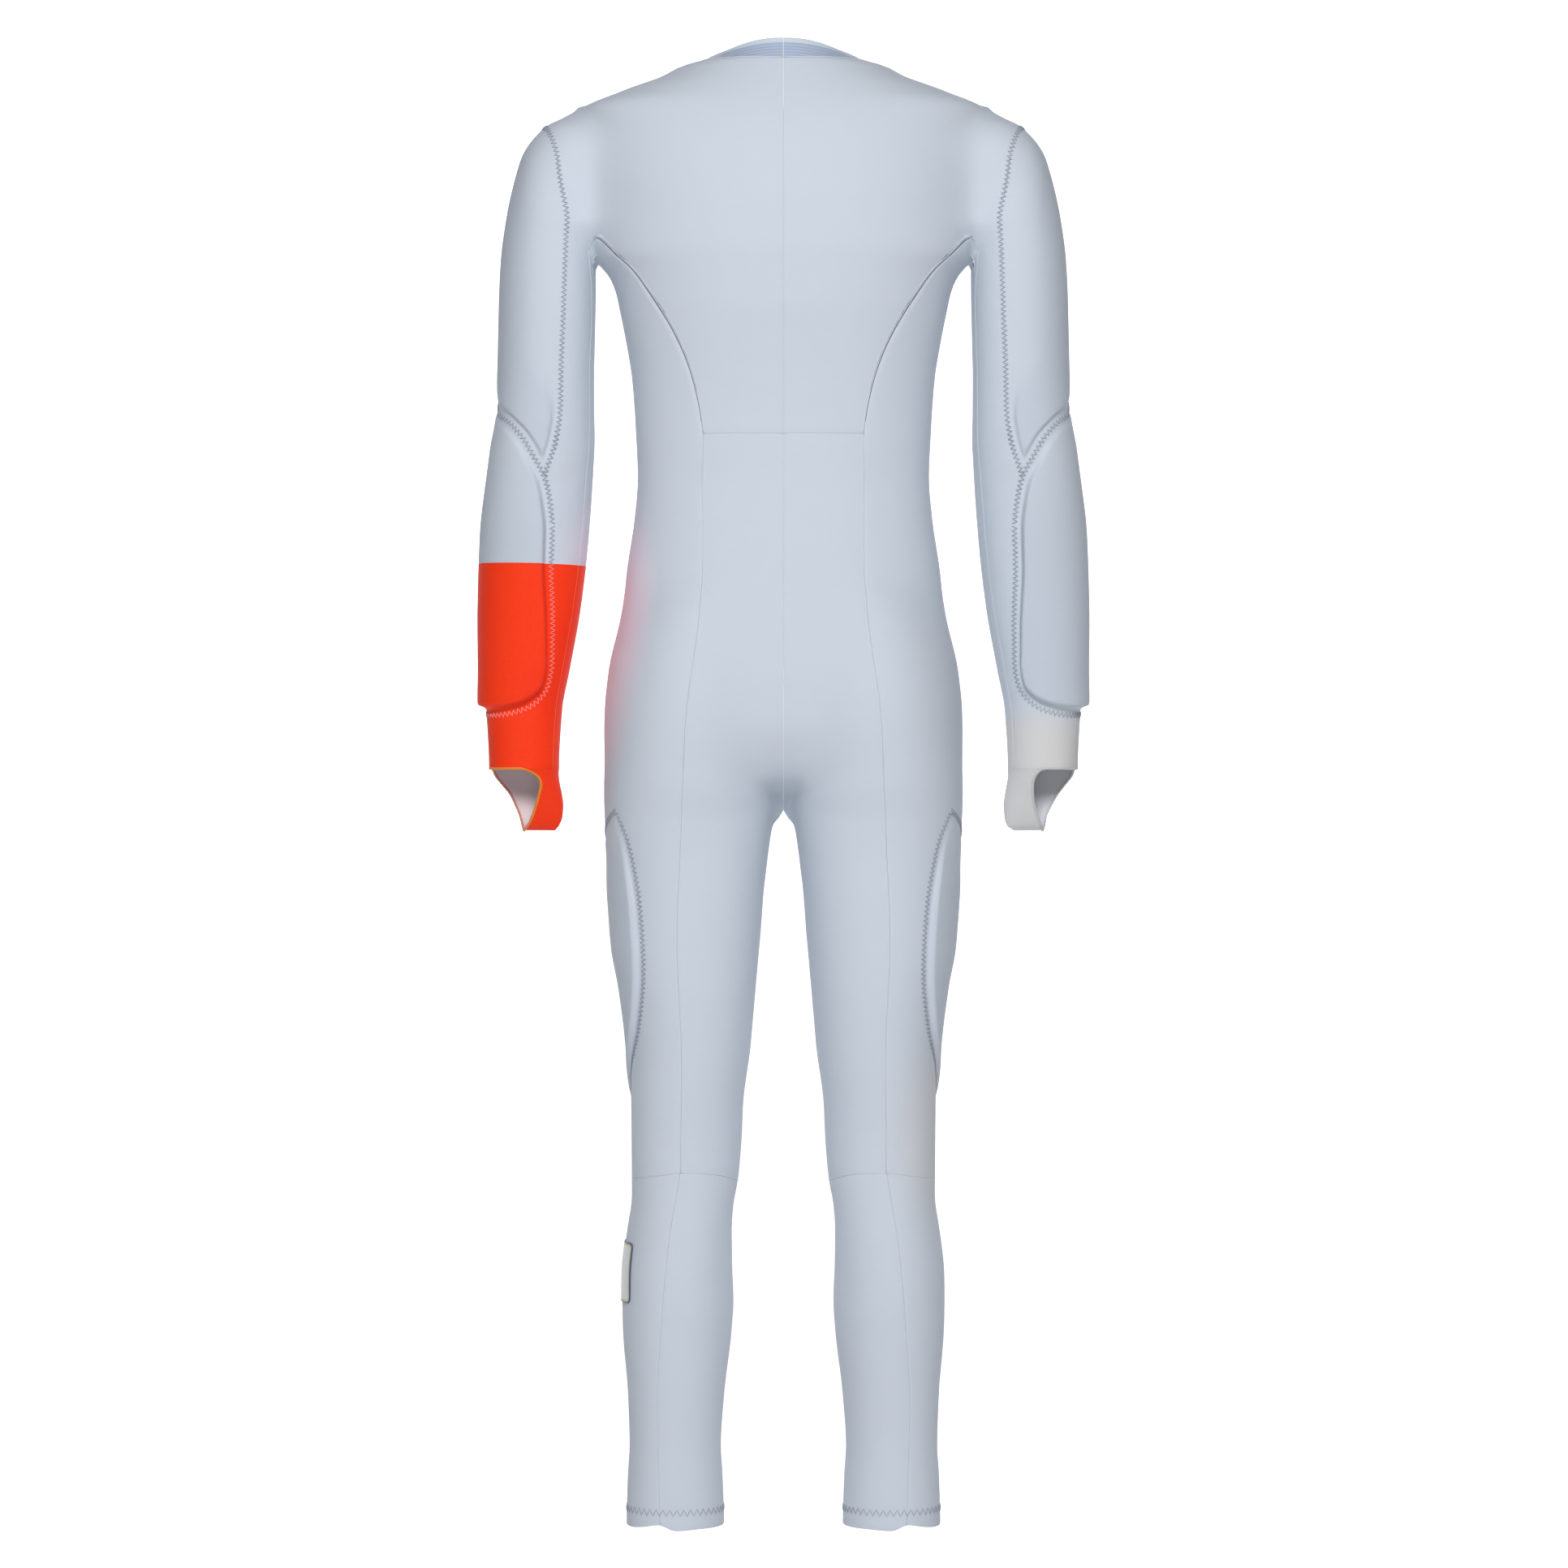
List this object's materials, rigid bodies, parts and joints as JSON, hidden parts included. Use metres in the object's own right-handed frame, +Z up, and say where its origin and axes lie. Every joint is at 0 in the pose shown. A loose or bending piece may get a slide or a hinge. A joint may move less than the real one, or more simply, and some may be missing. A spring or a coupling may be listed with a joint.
{
  "type": "ski race suit",
  "caption": "One-piece padded ski race suit as worn by an unseen figure: open neck, cuffs and hems, front zip, padded sleeves and thighs.",
  "frame": {"origin": "middle of the neck base, where the wearer's shoulders carry the suit", "axes": "+Z up, the wearer faces -Y, +X is the wearer's left"},
  "size_m": [0.607, 0.2342, 1.4542],
  "materials": {
    "stretch_cloth": "smooth stretch knit, slight sheen",
    "padded_cloth": "smooth stretch knit over foam pads",
    "padded_cloth_orange": "smooth stretch knit over foam pads",
    "loop_orange": "smooth stretch knit",
    "loop_white": "smooth stretch knit",
    "zip_tape": "woven tape",
    "metal": "satin grey",
    "label": "printed satin label, left bare"
  },
  "bodies": {
    "suit": {"back_lower_L": "stretch_cloth", "back_lower_R": "stretch_cloth", "back_yoke_L": "stretch_cloth", "back_yoke_R": "stretch_cloth", "collar_L": "stretch_cloth", "collar_R": "stretch_cloth", "forearm_panel_L": "padded_cloth_orange", "forearm_panel_R": "padded_cloth", "front_L": "stretch_cloth", "front_R": "stretch_cloth", "hand_loop_L": "loop_orange", "hand_loop_R": "loop_white", "label_L": "label", "shank_inner_L": "stretch_cloth", "shank_inner_R": "stretch_cloth", "shank_outer_L": "stretch_cloth", "shank_outer_R": "stretch_cloth", "side_panel_L": "stretch_cloth", "side_panel_R": "stretch_cloth", "thigh_panel_L": "padded_cloth", "thigh_panel_R": "padded_cloth", "upper_arm_panel_L": "padded_cloth", "upper_arm_panel_R": "padded_cloth", "zip_slider": "metal", "zip_tape_L": "zip_tape", "zip_tape_R": "zip_tape"},
    "pull": {"zip_pull": "metal"}
  },
  "joints": [
    {"name": "pull_swing", "type": "hinge", "parent": "suit", "child": "pull", "pos_m": [0, -0.08896, -0.04095], "axis": [-1, 0, 0], "range_deg": [0, 140]}
  ]
}
